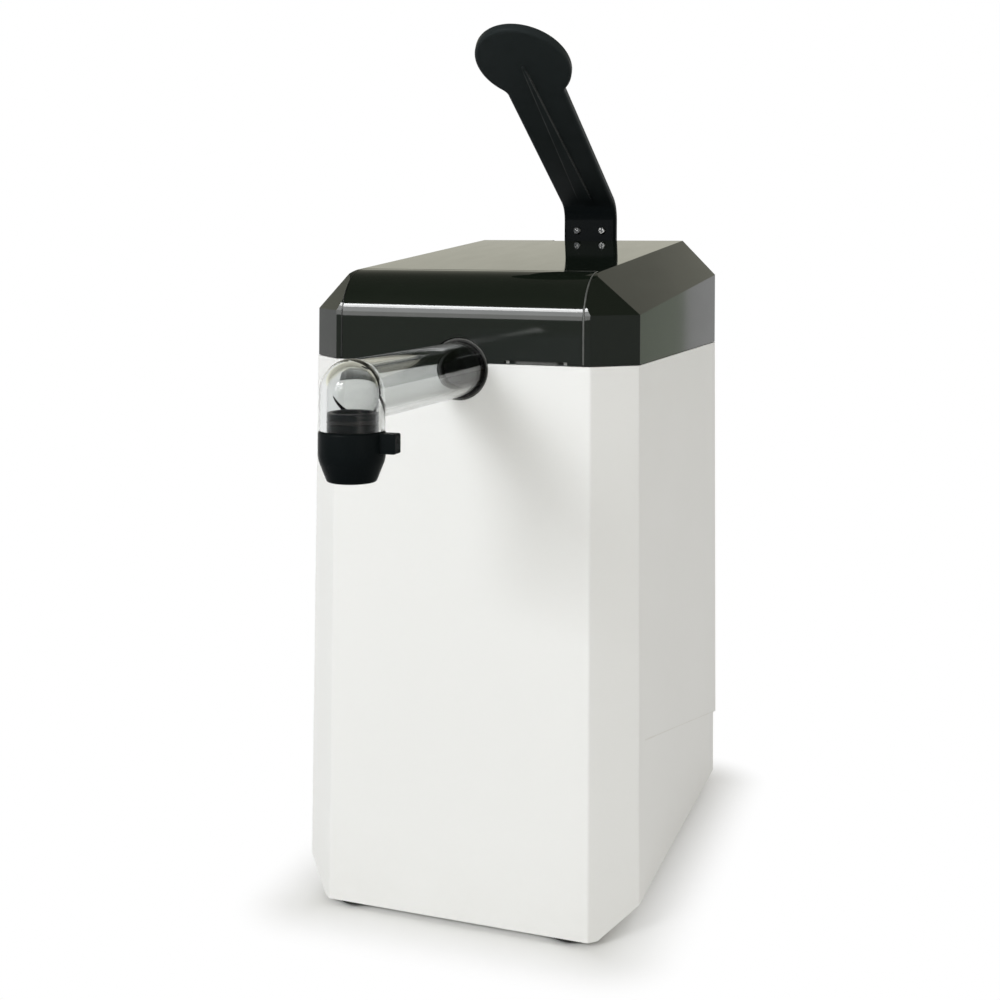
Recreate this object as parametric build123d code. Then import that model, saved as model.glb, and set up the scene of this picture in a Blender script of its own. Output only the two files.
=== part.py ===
from build123d import *
import os
from math import cos, pi, radians, sin, sqrt, tan

# Lever-pump condiment dispenser: an eight-sided white housing under a hinged dark lid, with a
# lever in the lid, a piston pump on a lift-out deck and a clear spout that ends in a twist nozzle.
# Millimetres, +Z up, front towards -Y. It is drawn about the middle of the housing, then moved along Y
# so that the origin is on the table under the middle of the whole outline, spout and hinges included.

# Housing
housing_width = 189.0
housing_depth = 250.0
housing_height = 298.5
housing_wall = 3.5
housing_draft = 2.0
floor_thickness = 4.0
corner_cut = 21.0
edge_radius = 2.0
base_bevel_width = 18.0
base_bevel_height = 14.0
relief_depth = 2.0
relief_start = 32.0
relief_high = 97.0
relief_low = 48.0

# Rubber feet
foot_height = 3.0
foot_diameter = 13.0
foot_inset_x = 33.0
foot_inset_y = 9.5
foot_stem_diameter = 6.0
foot_barb_diameter = 8.5
foot_barb_height = 3.0

# Lid
lid_gap = 0.4
lid_wall = 3.0
lid_front_height = 47.1
lid_side_height = 24.9
lid_slope = 5.0
lid_bevel_width = 23.3
lid_roll_radius = 27.0
lid_rear_roll_radius = 16.0
lid_corner_cut = 22.0
lid_edge_radius = 1.0
lid_facet_lean = 29.0
lid_strip_set_back = 0.4
lid_tongue_depth = 6.0
lid_tongue_thickness = 2.0
lid_tongue_clearance = 0.6
lid_tongue_inset = 40.0
lid_tongue_root = 3.0

# Rolled front panel of the lid
panel_width = 138.0
panel_thickness = 2.5
panel_wrap = 28.0
panel_gap = 1.0
finger_notch_x = 43.5
finger_notch_width = 35.0
finger_notch_height = 1.6
finger_notch_depth = 1.5

# Lid hinges
hinge_spread = 110.0
hinge_stand_off = 7.0
knuckle_diameter = 11.0
knuckle_length = 16.0
lid_knuckle_length = 8.0
knuckle_gap = 0.4
knuckle_web = 6.0
hinge_pin_diameter = 4.0

# Lever and its pivot
pivot_set_back = 18.0
pivot_rise = 22.5
pivot_pin_diameter = 8.0
hub_diameter = 22.0
arm_length = 78.0
arm_width = 16.0
arm_root_height = 14.0
arm_nose_height = 6.0
lever_swing = 30.0
tang_thickness = 3.0
tang_width = 26.0
tang_engagement = 43.0
tang_heel = 6.0
pad_radius = 7.0
pad_length = 24.0
pad_wall = 2.5

# Handle
handle_thickness = 6.0
stem_width = 37.6
stem_start = 20.0
stem_elevation = 29.0
leg_rise = 67.0
leg_overhang = 10.0
leg_foot_rise = 15.0
head_width = 58.6
head_length = 71.0
head_reach = 170.5
shoulder_radius = 10.0
bend_radius = 13.0
handle_edge_radius = 1.8
rib_height = 1.0
rib_root_width = 10.0
rib_tip_width = 2.0
rib_start = 14.0
handle_screw_spread = 18.0
handle_screw_head = 5.4
handle_screw_head_height = 1.6
handle_screw_end = 1.5
handle_screw_rise = 52.0
slot_clearance = 1.5
slot_lead = 3.0
slot_foot = 2.0
slot_corner_radius = 3.0

# Lever bracket
cheek_thickness = 4.0
cheek_front = 14.0
cheek_rear = 11.0
cheek_drop = 11.0
bracket_rise = 24.0
bracket_plate = 3.0
bracket_flange = 20.0
bush_diameter = 12.0
bush_flange_diameter = 16.0
bush_flange_thickness = 2.5
boss_diameter = 9.0
bracket_screw_grip = 9.0
bracket_lip = 6.0
boss_spread_y = 13.0
clip_diameter = 13.0
clip_thickness = 1.2
clip_gap = 0.4
clip_groove = 1.0
clip_mouth = 5.0
pin_overhang = 4.0

# Spout and nozzle
spout_drop = 3.2
spout_reach = 132.0
spout_diameter = 29.4
spout_bore = 23.0
elbow_diameter = 30.0
elbow_leg = 17.0
spout_hole_gap = 2.2
grommet_clearance = 0.5
grommet_length = 5.0
grommet_set_back = 1.0
collar_diameter = 35.0
collar_thickness = 3.0
nozzle_diameter = 30.6
nozzle_straight = 12.5
nozzle_taper = 10.4
nozzle_tip_diameter = 22.4
nozzle_waist_radius = 12.0
nozzle_edge_radius = 1.2
nozzle_gap = 0.3
nozzle_wall = 2.5
spigot_length = 8.0
nozzle_seal_section = 1.5
tab_length = 7.2
tab_height = 9.0
tab_drop = 0.5
tab_thickness = 6.0
tab_round = 0.8
drip_valve_diameter = 18.0
drip_valve_thickness = 3.0
drip_slit_length = 8.0
drip_slit_width = 0.3
nozzle_floor = 4.0
nozzle_lip = 4.0

# Pump
deck_drop = 51.5
deck_thickness = 3.0
deck_front = -70.0
deck_rear = 84.0
deck_clearance = 0.5
deck_lip = 9.0
deck_lip_inset = 4.0
deck_corner_radius = 6.0
ledge_depth = 18.0
ledge_thickness = 5.0
cylinder_bore = 30.0
cylinder_wall = 3.5
flange_thickness = 4.0
flange_margin = 10.0
cap_thickness = 8.0
guide_height = 6.0
guide_diameter = 17.0
rod_diameter = 10.0
piston_height = 14.0
piston_clearance = 0.2
piston_headroom = 4.0
rod_seat = 3.0
button_skin = 2.0
chamber_floor_gap = 3.0
seal_section = 2.4
button_diameter = 30.0
button_thickness = 7.0
button_boss = 5.0
button_round = 2.0
valve_bore = 16.0
valve_pocket = 20.0
valve_flange = 2.5
valve_bill = 9.0
valve_step = 2.5
valve_lip = 0.9
valve_skin = 1.1
valve_slit = 0.2
inlet_bore = 10.0
block_depth = 30.0
gallery_drop = 7.0
gallery_bore = 11.0
gallery_wall = 3.5
riser_offset = 36.0
riser_bore = 16.0
riser_low_bore = 12.0
riser_wall = 4.0
riser_shoulder = 10.0
nipple_length = 16.0
nipple_wall = 3.0
suction_tube_wall = 2.0
suction_floor_gap = 14.0
socket_length = 30.0
socket_depth = 16.0
socket_wall = 3.7
gasket_thickness = 2.0
nut_wall = 3.5
nut_length = 22.0
nut_front_wall = 4.0
nut_flutes = 16
nut_flute_radius = 1.4

# Return spring
spring_wire = 1.8
spring_diameter = 21.0
spring_turns = 6.5
spring_seat_gap = 0.3

# Fasteners and fits
screw_diameter = 4.0
screw_head_diameter = 7.5
screw_head_height = 2.6
thumb_head_diameter = 15.0
thumb_head_height = 9.0
thumb_screw_inset = 9.0
thumb_screw_diameter = 5.0
thumb_flutes = 10
thumb_flute_radius = 1.1
thumb_flute_foot = 1.5
recess_radius = 1.3
recess_depth = 1.2
head_round = 0.9
hole_clearance = 0.25
running_clearance = 0.05
pad_clearance = 0.35
seat_clearance = 0.1

# Places worked out from the sizes above
front_y = -housing_depth / 2
rear_y = housing_depth / 2
side_x = housing_width / 2
base_z = foot_height
rim_z = base_z + housing_height
floor_z = base_z + floor_thickness
lid_z = rim_z + lid_gap
pivot_y = rear_y - pivot_set_back
pivot_z = rim_z + pivot_rise
half_swing = radians(lever_swing / 2)
nose_y = pivot_y - arm_length * cos(half_swing)
nose_z = pivot_z + arm_length * sin(half_swing)
stroke = 2 * arm_length * sin(half_swing)
pump_y = pivot_y - arm_length * (1 + cos(half_swing)) / 2
deck_z = rim_z - deck_drop
cap_z = deck_z + flange_thickness
spring_seat_z = cap_z + cap_thickness
button_top_z = nose_z - pad_radius - pad_clearance
button_z = button_top_z - button_thickness
piston_top_z = cap_z - piston_headroom
piston_z = piston_top_z - piston_height
chamber_z = piston_z - stroke - chamber_floor_gap
block_z = chamber_z - block_depth
gallery_z = chamber_z - gallery_drop
riser_y = pump_y - riser_offset
riser_radius = riser_bore / 2 + riser_wall
cylinder_radius = cylinder_bore / 2 + cylinder_wall
flange_radius = cylinder_radius + flange_margin
spout_z = rim_z - spout_drop
socket_radius = spout_diameter / 2 + socket_wall
socket_front = riser_y - socket_length
spout_rear = socket_front + socket_depth
elbow_y = front_y - spout_reach
elbow_bottom = spout_z - elbow_leg
nozzle_top = elbow_bottom - nozzle_gap
spout_hole_radius = spout_diameter / 2 + spout_hole_gap
hinge_y = rear_y + hinge_stand_off
hinge_z = rim_z
leg_rear = rear_y + leg_overhang
leg_front = leg_rear - handle_thickness
bend_z = pivot_z + leg_rise
leg_foot_z = pivot_z + leg_foot_rise
cheek_face = stem_width / 2 + slot_clearance
cheek_outer = cheek_face + cheek_thickness
hub_half = cheek_face - bush_flange_thickness - running_clearance
bracket_z = pivot_z + bracket_rise
outline_front = elbow_y - nozzle_diameter / 2
outline_rear = hinge_y + knuckle_diameter / 2
frame_shift = -(outline_front + outline_rear) / 2
reach = 400.0
lid_run_out = 60.0

AT_BASE = (Align.CENTER, Align.CENTER, Align.MIN)


# Plain shapes

def block(x0, x1, y0, y1, z0, z1):
    middle = Pos((x0 + x1) / 2, (y0 + y1) / 2, (z0 + z1) / 2)
    return middle * Box(x1 - x0, y1 - y0, z1 - z0)


def upright(radius, x, y, z0, z1):
    return Pos(x, y, z0) * Cylinder(radius, z1 - z0, align=AT_BASE)


def along_x(radius, x0, x1, y, z):
    return Pos((x0 + x1) / 2, y, z) * Rot(0, 90, 0) * Cylinder(radius, x1 - x0)


def along_y(radius, y0, y1, x, z):
    return Pos(x, (y0 + y1) / 2, z) * Rot(90, 0, 0) * Cylinder(radius, y1 - y0)


def polygon(points):
    return make_face(Polyline(*points, close=True))


def side_slab(points, x0, x1):
    """A Y-Z outline given thickness from x0 to x1."""
    return Pos(x0, 0, 0) * extrude(Plane.YZ * polygon(points), x1 - x0)


def both_sides(piece):
    return piece + mirror(piece, about=Plane.YZ)


def ring(outer, inner, x, y, z0, z1):
    return upright(outer, x, y, z0, z1) - upright(inner, x, y, z0 - 1, z1 + 1)


def lid_rise(y):
    return (y - front_y) * tan(radians(lid_slope))


def lid_top_z(y):
    return rim_z + lid_front_height + lid_rise(y)


def lid_side_z(y):
    return rim_z + lid_side_height + lid_rise(y)


# Eight-sided plan shared by housing and lid

def plan(inset, radius=0.0, corner=corner_cut):
    half_w = side_x - inset
    half_d = rear_y - inset
    cut = corner - inset * (2 - sqrt(2))
    quarter = [(half_w, half_d - cut), (half_w - cut, half_d)]
    rear_left = [(-x, y) for x, y in reversed(quarter)]
    front = [(-x, -y) for x, y in quarter + rear_left]
    face = polygon(quarter + rear_left + front)
    return fillet(face.vertices(), radius) if radius else face


# Housing

def housing_section(inset):
    """X-Z outline of the housing, bevelled along both lower edges, run out past its ends."""
    overrun = 30.0
    foot_x = side_x + housing_draft
    low_x = foot_x - base_bevel_width - overrun * base_bevel_width / base_bevel_height
    high_x = foot_x + overrun * base_bevel_width / base_bevel_height
    bevel_z = base_z + base_bevel_height
    right = [(low_x, base_z - overrun), (high_x, bevel_z + overrun), (high_x, rim_z + overrun)]
    left = [(-x, z) for x, z in reversed(right)]
    face = polygon(right + left)
    face = offset(face, -inset, kind=Kind.INTERSECTION) if inset else face
    return extrude(Plane.XZ * face, reach, both=True)


def housing_form(inset, z0, z1, radius):
    """Drafted eight-sided block, widest at the base, with its lower side edges bevelled."""
    def level(z):
        return Pos(0, 0, z) * plan(inset - housing_draft * (rim_z - z) / housing_height, radius)

    return loft([level(z0), level(z1)], ruled=True) & housing_section(inset)


def side_relief():
    """A shallow wedge off the lower side wall, from nothing at its front to full depth at the rear."""
    start_y = front_y + relief_start
    end_y = rear_y + 1
    outside = side_x + 5
    wall_x = side_x + housing_draft * (1 - relief_high / housing_height)
    wedge = polygon([(wall_x, start_y), (outside, start_y), (outside, end_y), (wall_x - relief_depth, end_y)])
    slope = (relief_high - relief_low) / (housing_depth - relief_start)
    high = base_z + relief_high
    low = high - slope * (end_y - start_y)
    under = side_slab([(start_y, 0), (start_y, high), (end_y, low), (end_y, 0)], 0, outside)
    return both_sides(extrude(wedge, rim_z) & under)


def foot_places():
    x = side_x - foot_inset_x
    y = rear_y - foot_inset_y
    return [(x, y), (-x, y), (x, -y), (-x, -y)]


def deck_ledge():
    """Side ledge that carries the deck, with a sloping underside that leaves the mould."""
    top = deck_z - deck_thickness
    wall_x = side_x - housing_wall + 1
    tip_x = side_x - housing_wall - ledge_depth
    outline = polygon([
        (wall_x, top),
        (tip_x, top),
        (tip_x, top - ledge_thickness),
        (wall_x, top - ledge_thickness - ledge_depth),
    ])
    ledge = Pos(0, deck_rear, 0) * extrude(Plane.XZ * outline, deck_rear - deck_front)
    return both_sides(ledge)


def deck_screw_places():
    x = side_x - housing_wall - thumb_screw_inset
    rows = (deck_front + thumb_screw_inset, deck_rear - thumb_screw_inset)
    return [(sx * x, y) for sx in (-1, 1) for y in rows]


def knuckle(x0, x1, sign):
    """One hinge knuckle from x0 to x1, webbed to the wall below (-1) or above (+1) the hinge line."""
    radius = knuckle_diameter / 2
    barrel = along_x(radius, x0, x1, hinge_y, hinge_z)
    start = 0.0 if sign < 0 else lid_gap
    web = side_slab([
        (rear_y - 1, hinge_z + sign * start),
        (hinge_y, hinge_z + sign * start),
        (hinge_y, hinge_z + sign * radius),
        (rear_y - 1, hinge_z + sign * (radius + knuckle_web)),
    ], x0, x1)
    pin_hole = along_x(hinge_pin_diameter / 2 + running_clearance, x0 - 1, x1 + 1, hinge_y, hinge_z)
    return barrel + web - pin_hole


def housing_shell():
    shell = housing_form(0, base_z, rim_z, edge_radius)
    shell -= housing_form(housing_wall, floor_z, rim_z + 1, 0)
    shell -= side_relief()
    shell += deck_ledge()
    half = knuckle_length / 2
    for x in (-hinge_spread / 2, hinge_spread / 2):
        shell += knuckle(x - half, x + half, -1)
    shell -= along_y(spout_hole_radius, front_y - 1, front_y + housing_wall + 1, 0, spout_z)
    for x, y in foot_places():
        shell -= upright(foot_stem_diameter / 2 + seat_clearance, x, y, base_z - 1, floor_z + 1)
    depth = ledge_thickness + ledge_depth / 2
    top = deck_z - deck_thickness
    for x, y in deck_screw_places():
        shell -= upright(thumb_screw_diameter / 2 + seat_clearance, x, y, top - depth, top + 1)
    return shell


def rubber_feet():
    feet = Part()
    for x, y in foot_places():
        pad = upright(foot_diameter / 2, x, y, 0, foot_height)
        rim = pad.edges().sort_by(Axis.Z)[0]
        foot = fillet(rim, 0.8) + upright(foot_stem_diameter / 2, x, y, foot_height, floor_z)
        barb = Cone(foot_barb_diameter / 2, foot_stem_diameter / 2, foot_barb_height, align=AT_BASE)
        foot += Pos(x, y, floor_z) * barb
        feet += foot
    return feet


# Lid

def facet_cut(corner_y, front, inset):
    """Half space outside a leaning corner facet, hinged on the lid's side edge at one end."""
    lean = radians(lid_facet_lean)
    flat = cos(lean) / sqrt(2)
    outward = Vector(flat, -flat if front else flat, sin(lean))
    corner = Vector(side_x, corner_y, lid_side_z(corner_y))
    face = Plane(origin=corner - outward * inset, z_dir=outward)
    return both_sides(face.location * Box(reach, reach, reach, align=AT_BASE))


def lid_profile(inset, front_set_back):
    """Y-Z outline of the lid: upright front, rolled top edge, sloping top and rolled rear edge."""
    start = front_y + front_set_back
    low = rim_z - lid_run_out
    face = polygon([
        (start, low),
        (start, lid_top_z(start)),
        (rear_y, lid_top_z(rear_y)),
        (rear_y, low),
    ])
    upper = face.vertices().sort_by(Axis.Y)[2:].sort_by(Axis.X)
    face = fillet(upper[-1], lid_rear_roll_radius)
    upper = face.vertices().sort_by(Axis.X)[:2].sort_by(Axis.Y)
    face = fillet(upper[-1], lid_roll_radius - front_set_back)
    return offset(face, -inset, kind=Kind.INTERSECTION) if inset else face


def lid_section(inset):
    """X-Z outline of the lid with its two side bevels, drawn at the front."""
    low = rim_z - 1.5 * lid_run_out
    top_x = side_x - lid_bevel_width
    slope = (lid_front_height - lid_side_height) / lid_bevel_width
    over = lid_bevel_width
    right = [
        (side_x, low),
        (side_x, lid_side_z(front_y)),
        (top_x - over, lid_top_z(front_y) + over * slope),
    ]
    left = [(-x, z) for x, z in reversed(right)]
    face = polygon(right + left)
    return offset(face, -inset, kind=Kind.INTERSECTION) if inset else face


def lid_form(inset, front_set_back=0.0, radius=0.0):
    """The lid's outer body brought in by an inset, from well below the rim to its top."""
    low = rim_z - lid_run_out / 2
    body = Pos(0, 0, low) * extrude(plan(inset, radius, lid_corner_cut), reach)
    body &= extrude(Plane.YZ * lid_profile(inset, front_set_back), reach, both=True)
    along = Vector(0, cos(radians(lid_slope)), sin(radians(lid_slope)))
    start = Plane.XZ.offset(-front_y + lid_corner_cut)
    drop = lid_rise(front_y - lid_corner_cut)
    beveled = extrude(start * Pos(0, drop) * lid_section(inset), reach, dir=along)
    body &= beveled
    body -= facet_cut(front_y + lid_corner_cut, True, inset)
    body -= facet_cut(rear_y - lid_corner_cut, False, inset)
    return body


def above(z):
    return block(-reach, reach, -reach, reach, z, z + reach)


def panel_zone(half_width, margin):
    rear = front_y + panel_wrap + margin
    return block(-half_width, half_width, front_y - 10, rear, rim_z - lid_run_out, rim_z + reach)


def spout_notch():
    return along_y(spout_hole_radius, front_y - 10, front_y + panel_wrap, 0, spout_z)


def lever_slot():
    """Opening in the lid's top and rear wall through which the lever's leg swings."""
    half = stem_width / 2 + slot_clearance
    swing = radians(lever_swing)
    rise = lid_top_z(pivot_y) - pivot_z
    leg_offset = leg_front - pivot_y
    along_leg = (rise - leg_offset * sin(swing)) / cos(swing)
    forward = leg_offset * cos(swing) - along_leg * sin(swing)
    slot_front = pivot_y + forward - slot_lead
    bottom = pivot_z + slot_foot
    slot = block(-half, half, slot_front, rear_y + 20, bottom, rim_z + reach)
    upright_edges = slot.edges().filter_by(Axis.Z).group_by(Axis.Y)[0]
    return fillet(upright_edges, slot_corner_radius)


def boss_places():
    x = cheek_outer + bracket_flange / 2
    middle = pivot_y + (cheek_rear - cheek_front) / 2
    return [(sx * x, middle + sy * boss_spread_y / 2) for sx in (-1, 1) for sy in (-1, 1)]


def lid_cavity():
    full = lid_form(lid_wall)
    behind_panel = lid_form(lid_wall + panel_thickness)
    rear_part = full & block(-reach, reach, front_y + panel_wrap + lid_wall, reach, -reach, reach)
    return rear_part + behind_panel


def lid_tongues():
    outer_x = side_x - housing_wall - lid_tongue_clearance
    inner_x = outer_x - lid_tongue_thickness
    half = rear_y - lid_tongue_inset
    blade = block(inner_x, outer_x, -half, half, rim_z - lid_tongue_depth, lid_z + lid_tongue_root)
    root = block(inner_x, side_x - 1, -half, half, lid_z, lid_z + lid_tongue_root)
    return both_sides(blade + root)


def lid_shell():
    seat = panel_zone(panel_width / 2 + panel_gap, panel_gap) - lid_form(panel_thickness)
    body = lid_form(0, lid_strip_set_back, lid_edge_radius)
    shell = body - seat - lid_cavity()
    for x, y in boss_places():
        shell += upright(boss_diameter / 2, x, y, bracket_z, bracket_z + lid_run_out) & body
    shell &= above(lid_z)
    shell += lid_tongues()
    end = knuckle_length / 2 + knuckle_gap
    for x in (-hinge_spread / 2, hinge_spread / 2):
        shell += knuckle(x + end, x + end + lid_knuckle_length, 1)
        shell += knuckle(x - end - lid_knuckle_length, x - end, 1)
    shell -= spout_notch()
    shell -= lever_slot()
    for x, y in boss_places():
        hole_top = bracket_z + bracket_screw_grip + 1
        shell -= upright(screw_diameter / 2 + seat_clearance, x, y, bracket_z - 1, hole_top)
    return shell


def lid_front_panel():
    half = panel_width / 2
    panel = panel_zone(half, 0) & (lid_form(0) - lid_form(panel_thickness))
    panel -= spout_notch()
    notch_left = finger_notch_x - finger_notch_width / 2
    notch_right = finger_notch_x + finger_notch_width / 2
    notch_rear = front_y + finger_notch_depth
    panel -= block(notch_left, notch_right, front_y - 5, notch_rear, rim_z, lid_z + finger_notch_height)
    return panel & above(lid_z)


def hinge_pins():
    half = knuckle_length / 2 + knuckle_gap + lid_knuckle_length
    pins = Part()
    for x in (-hinge_spread / 2, hinge_spread / 2):
        pins += along_x(hinge_pin_diameter / 2, x - half, x + half, hinge_y, hinge_z)
    return pins


# Lever

def lever_bracket():
    """Two cheeks that hold the pivot bushes, each with a flange screwed up to the lid's bosses."""
    cheek = side_slab([
        (pivot_y - cheek_front, bracket_z),
        (pivot_y - cheek_front, pivot_z),
        (pivot_y - cheek_front / 2, pivot_z - cheek_drop),
        (pivot_y + cheek_front / 2, pivot_z - cheek_drop),
        (pivot_y + cheek_rear, pivot_z),
        (pivot_y + cheek_rear, bracket_z),
    ], cheek_face, cheek_outer)
    flange = block(
        cheek_face, cheek_outer + bracket_flange, pivot_y - cheek_front, pivot_y + cheek_rear,
        bracket_z - bracket_plate, bracket_z,
    )
    half = both_sides(cheek + flange)
    half -= along_x(bush_diameter / 2, -reach, reach, pivot_y, pivot_z)
    for x, y in boss_places():
        half -= upright(screw_diameter / 2 + hole_clearance, x, y, bracket_z - 10, bracket_z + 1)
    lip_front = pivot_y - cheek_front
    lip_rear = lip_front + bracket_plate
    front = block(-cheek_face, cheek_face, lip_front, lip_rear, bracket_z - bracket_lip, bracket_z)
    return half + front


def screw(x, y, head_z, length, up=True):
    """Pan-head screw with its shank along Z, its head under (up) or over the clamped plate."""
    sign = 1 if up else -1
    low, high = sorted((head_z, head_z + sign * length))
    shank = upright(screw_diameter / 2, x, y, low, high)
    low, high = sorted((head_z, head_z - sign * screw_head_height))
    head = upright(screw_head_diameter / 2, x, y, low, high)
    rim = head.edges().sort_by(Axis.Z)[0 if up else -1]
    recess_z = low - 1 if up else high - recess_depth
    recess = upright(recess_radius, x, y, recess_z, recess_z + recess_depth + 1)
    return fillet(rim, head_round) - recess + shank


def bracket_screws():
    screws = Part()
    for x, y in boss_places():
        screws += screw(x, y, bracket_z - bracket_plate, bracket_plate + bracket_screw_grip)
    return screws


def pivot_bushes():
    flange_x = cheek_face - bush_flange_thickness
    flange = along_x(bush_flange_diameter / 2, flange_x, cheek_face, pivot_y, pivot_z)
    sleeve = along_x(bush_diameter / 2, cheek_face, cheek_outer, pivot_y, pivot_z)
    hole = along_x(pivot_pin_diameter / 2 + running_clearance, 0, reach, pivot_y, pivot_z)
    return both_sides(flange + sleeve - hole)


def pivot_pin():
    half = cheek_outer + pin_overhang
    pin = along_x(pivot_pin_diameter / 2, -half, half, pivot_y, pivot_z)
    clip_x = cheek_outer + clip_gap
    groove = along_x(clip_diameter, clip_x, clip_x + clip_thickness, pivot_y, pivot_z)
    core = pivot_pin_diameter / 2 - clip_groove
    groove -= along_x(core, clip_x - 1, clip_x + clip_thickness + 1, pivot_y, pivot_z)
    return pin - both_sides(groove)


def pivot_clips():
    """Open retaining rings in the pin's grooves."""
    clip_x = cheek_outer + clip_gap
    disc = along_x(clip_diameter / 2, clip_x, clip_x + clip_thickness, pivot_y, pivot_z)
    core = pivot_pin_diameter / 2 - clip_groove
    disc -= along_x(core, clip_x - 1, clip_x + clip_thickness + 1, pivot_y, pivot_z)
    gap = clip_mouth / 2
    mouth = block(0, reach, pivot_y - gap, pivot_y + gap, pivot_z - clip_diameter, pivot_z)
    return both_sides(disc - mouth)


def tang_places():
    rear = leg_front + (handle_thickness + tang_thickness) / 2
    return rear - tang_thickness, rear


def lever_arm():
    """Hub, pushing arm and the upright tang that carries the handle, in one casting."""
    hub = along_x(hub_diameter / 2, -hub_half, hub_half, pivot_y, pivot_z)
    along = (-cos(half_swing), sin(half_swing))
    across = (sin(half_swing), cos(half_swing))

    def on_arm(distance, height):
        return (
            pivot_y + along[0] * distance + across[0] * height,
            pivot_z + along[1] * distance + across[1] * height,
        )

    root = arm_root_height / 2
    nose = arm_nose_height / 2
    neck = arm_length - button_diameter / 2 - pad_radius - 3
    end = arm_length + pad_radius - pad_wall
    arm = side_slab([
        on_arm(0, root), on_arm(0, -root), on_arm(neck, -nose), on_arm(end, -nose),
        on_arm(end, nose), on_arm(neck, nose),
    ], -arm_width / 2, arm_width / 2)
    tang_front, tang_rear = tang_places()
    top = leg_foot_z + tang_engagement
    tang = side_slab([
        (pivot_y, pivot_z + hub_diameter / 2),
        (tang_front, leg_foot_z - tang_heel / 3),
        (tang_front, top),
        (tang_rear, top),
        (tang_rear, leg_foot_z - tang_heel),
        (pivot_y, pivot_z),
    ], -tang_width / 2, tang_width / 2)
    casting = hub + arm + tang
    casting -= along_x(pivot_pin_diameter / 2, -reach, reach, pivot_y, pivot_z)
    for x in (-handle_screw_spread / 2, handle_screw_spread / 2):
        hole_z = pivot_z + handle_screw_rise
        casting -= along_y(screw_diameter / 2 + seat_clearance, tang_front - 2, tang_rear + 2, x, hole_z)
    return casting


def pusher_pad():
    """Round-nosed sliding shoe pushed over the arm's end."""
    shoe = along_x(pad_radius, -pad_length / 2, pad_length / 2, nose_y, nose_z)
    socket = Box(arm_width + 2 * seat_clearance, 2 * (pad_radius - pad_wall + seat_clearance) + 20,
                 arm_nose_height + 2 * seat_clearance)
    turn = Pos(0, nose_y, nose_z) * Rot(-lever_swing / 2, 0, 0) * Pos(0, 10, 0)
    return shoe - turn * socket


def handle_plane():
    elevation = radians(stem_elevation)
    normal = Vector(0, sin(elevation), cos(elevation))
    return Plane(origin=(0, leg_front, bend_z), x_dir=(-1, 0, 0), z_dir=normal)


def stem_profile():
    """Y-Z outline of the bent bar: an upright leg and a sloping stem that runs into the head."""
    elevation = radians(stem_elevation)
    along = (-cos(elevation), sin(elevation))
    normal = (sin(elevation), cos(elevation))

    def place(distance, height):
        return (
            leg_front + along[0] * distance + normal[0] * height,
            bend_z + along[1] * distance + normal[1] * height,
        )

    back = -handle_thickness * (1 - sin(elevation)) / cos(elevation)
    face = polygon([
        (leg_front, leg_foot_z),
        place(0, 0),
        place(stem_start, 0),
        place(stem_start, handle_thickness),
        place(back, handle_thickness),
        (leg_rear, leg_foot_z),
    ])
    inside = face.vertices().sort_by_distance((*place(0, 0), 0))[0]
    face = fillet(inside, bend_radius)
    outside = face.vertices().sort_by_distance((*place(back, handle_thickness), 0))[0]
    return fillet(outside, bend_radius + handle_thickness)


def paddle():
    """Flat stem that flows into an oval head, drawn square to the stem from the bend to the tip."""
    face = Pos(0, head_reach) * Ellipse(head_width / 2, head_length / 2)
    face += Pos(0, (stem_start + head_reach) / 2) * Rectangle(stem_width, head_reach - stem_start)
    body = extrude(face, handle_thickness)
    uprights = body.edges().filter_by(Axis.Z)
    body = fillet(uprights.filter_by(lambda edge: edge.center().Y > stem_start + 1), shoulder_radius)
    rims = body.faces().filter_by(Axis.Z).edges()
    return fillet(rims.filter_by(lambda edge: edge.center().Y > stem_start + 1), handle_edge_radius)


def handle():
    """Upright leg and bend in one bar, then the flat stem and paddle with a low rib under them."""
    stem = extrude(Plane.YZ * stem_profile(), stem_width / 2, both=True)
    joint = handle_plane().from_local_coords(Vector(0, stem_start, handle_thickness / 2))

    def runs_along(edge):
        middle = edge.center()
        off_joint = abs(middle.Y - joint.Y) + abs(middle.Z - joint.Z)
        return middle.Z > leg_foot_z + 1 and off_joint > 1

    sides = stem.faces().filter_by(Axis.X).edges()
    stem = fillet(sides.filter_by(runs_along), handle_edge_radius)
    body = stem + handle_plane() * paddle()
    rib = polygon([
        (-rib_root_width / 2, rib_start), (rib_root_width / 2, rib_start),
        (rib_tip_width / 2, head_reach), (-rib_tip_width / 2, head_reach),
    ])
    body += handle_plane() * Pos(0, 0, -rib_height) * extrude(rib, rib_height + 1)
    tang_front, tang_rear = tang_places()
    width = tang_width / 2 + seat_clearance
    body -= block(
        -width, width, tang_front - seat_clearance, tang_rear + seat_clearance,
        leg_foot_z - 1, leg_foot_z + tang_engagement + seat_clearance,
    )
    hole_z = pivot_z + handle_screw_rise
    for x in (-handle_screw_spread / 2, handle_screw_spread / 2):
        hole_end = leg_rear - handle_screw_end / 2
        body -= along_y(screw_diameter / 2 + seat_clearance, leg_front - 1, hole_end, x, hole_z)
    return body


def handle_screws():
    """Screws through the leg's front into the tang; their low heads stand on the leg."""
    screws = Part()
    hole_z = pivot_z + handle_screw_rise
    for x in (-handle_screw_spread / 2, handle_screw_spread / 2):
        head_front = leg_front - handle_screw_head_height
        head = along_y(handle_screw_head / 2, head_front, leg_front, x, hole_z)
        head = fillet(head.edges().sort_by(Axis.Y)[0], head_round)
        recess = along_y(recess_radius, head_front - 1, head_front + recess_depth, x, hole_z)
        shank = along_y(screw_diameter / 2, leg_front, leg_rear - handle_screw_end, x, hole_z)
        screws += head - recess + shank
    return screws


# Pump

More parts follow.
